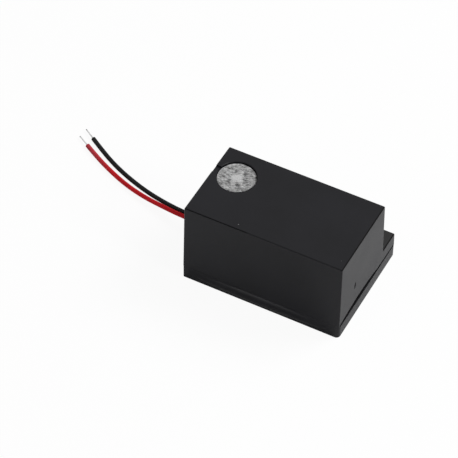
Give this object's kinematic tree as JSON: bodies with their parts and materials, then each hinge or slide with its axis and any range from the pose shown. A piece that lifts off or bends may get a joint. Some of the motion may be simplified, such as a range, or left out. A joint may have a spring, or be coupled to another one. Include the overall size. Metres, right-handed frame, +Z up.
{
  "type": "phone loudspeaker",
  "caption": "Small sealed loudspeaker box for a telephone: a moulded, stepped housing over a shallow frame, with a mesh-covered vent on top, a downward-firing driver and stripped leads.",
  "frame": {"origin": "middle of the footprint, on the surface that the box stands on, leads left out", "axes": "+X along the length, away from the leads; +Y from the tall block towards the low step; +Z up, away from the sound opening"},
  "size_m": [0.0833, 0.0308, 0.0231],
  "materials": {
    "housing_plastic": "satin moulded plastic",
    "frame_plastic": "satin moulded plastic",
    "woven_mesh": "fine woven mesh",
    "adhesive_tape": "double-sided adhesive",
    "gasket_foam": "closed-cell foam",
    "driver_plastic": "moulded plastic",
    "diaphragm_film": "thin polyester film",
    "coil_copper": "enamelled copper winding",
    "plated_steel": "zinc-plated steel",
    "plated_magnet": "nickel-plated magnet",
    "damping_fabric": "acoustic cloth",
    "board_laminate": "phenolic laminate",
    "bare_copper": "bare copper",
    "solder": "bright solder",
    "hot_melt": "translucent hot-melt glue",
    "red_insulation": "soft extruded insulation",
    "black_insulation": "soft extruded insulation",
    "tinned_copper": "tinned stranded copper"
  },
  "bodies": {
    "enclosure": {"rear_housing": "housing_plastic", "front_frame": "frame_plastic", "mesh_disc": "woven_mesh", "mesh_tape": "adhesive_tape", "driver_gasket": "gasket_foam", "clamp_ring": "driver_plastic", "surround": "diaphragm_film", "basket": "driver_plastic", "yoke": "plated_steel", "magnet": "plated_magnet", "pole_plate": "plated_steel", "damping_cloth": "damping_fabric", "terminal_board": "board_laminate", "solder_pads": "bare_copper", "solder_joints": "solder", "cable_seal": "hot_melt", "red_lead": "red_insulation", "black_lead": "black_insulation", "red_conductor": "tinned_copper", "black_conductor": "tinned_copper"},
    "moving_system": {"dome": "diaphragm_film", "voice_coil": "coil_copper"}
  },
  "joints": [
    {"name": "diaphragm_travel", "type": "slide", "parent": "enclosure", "child": "moving_system", "axis": [0, 0, 1], "range_m": [-0.0004, 0.0004], "stiffness_N_per_m": 900, "deforming": ["surround"]}
  ]
}
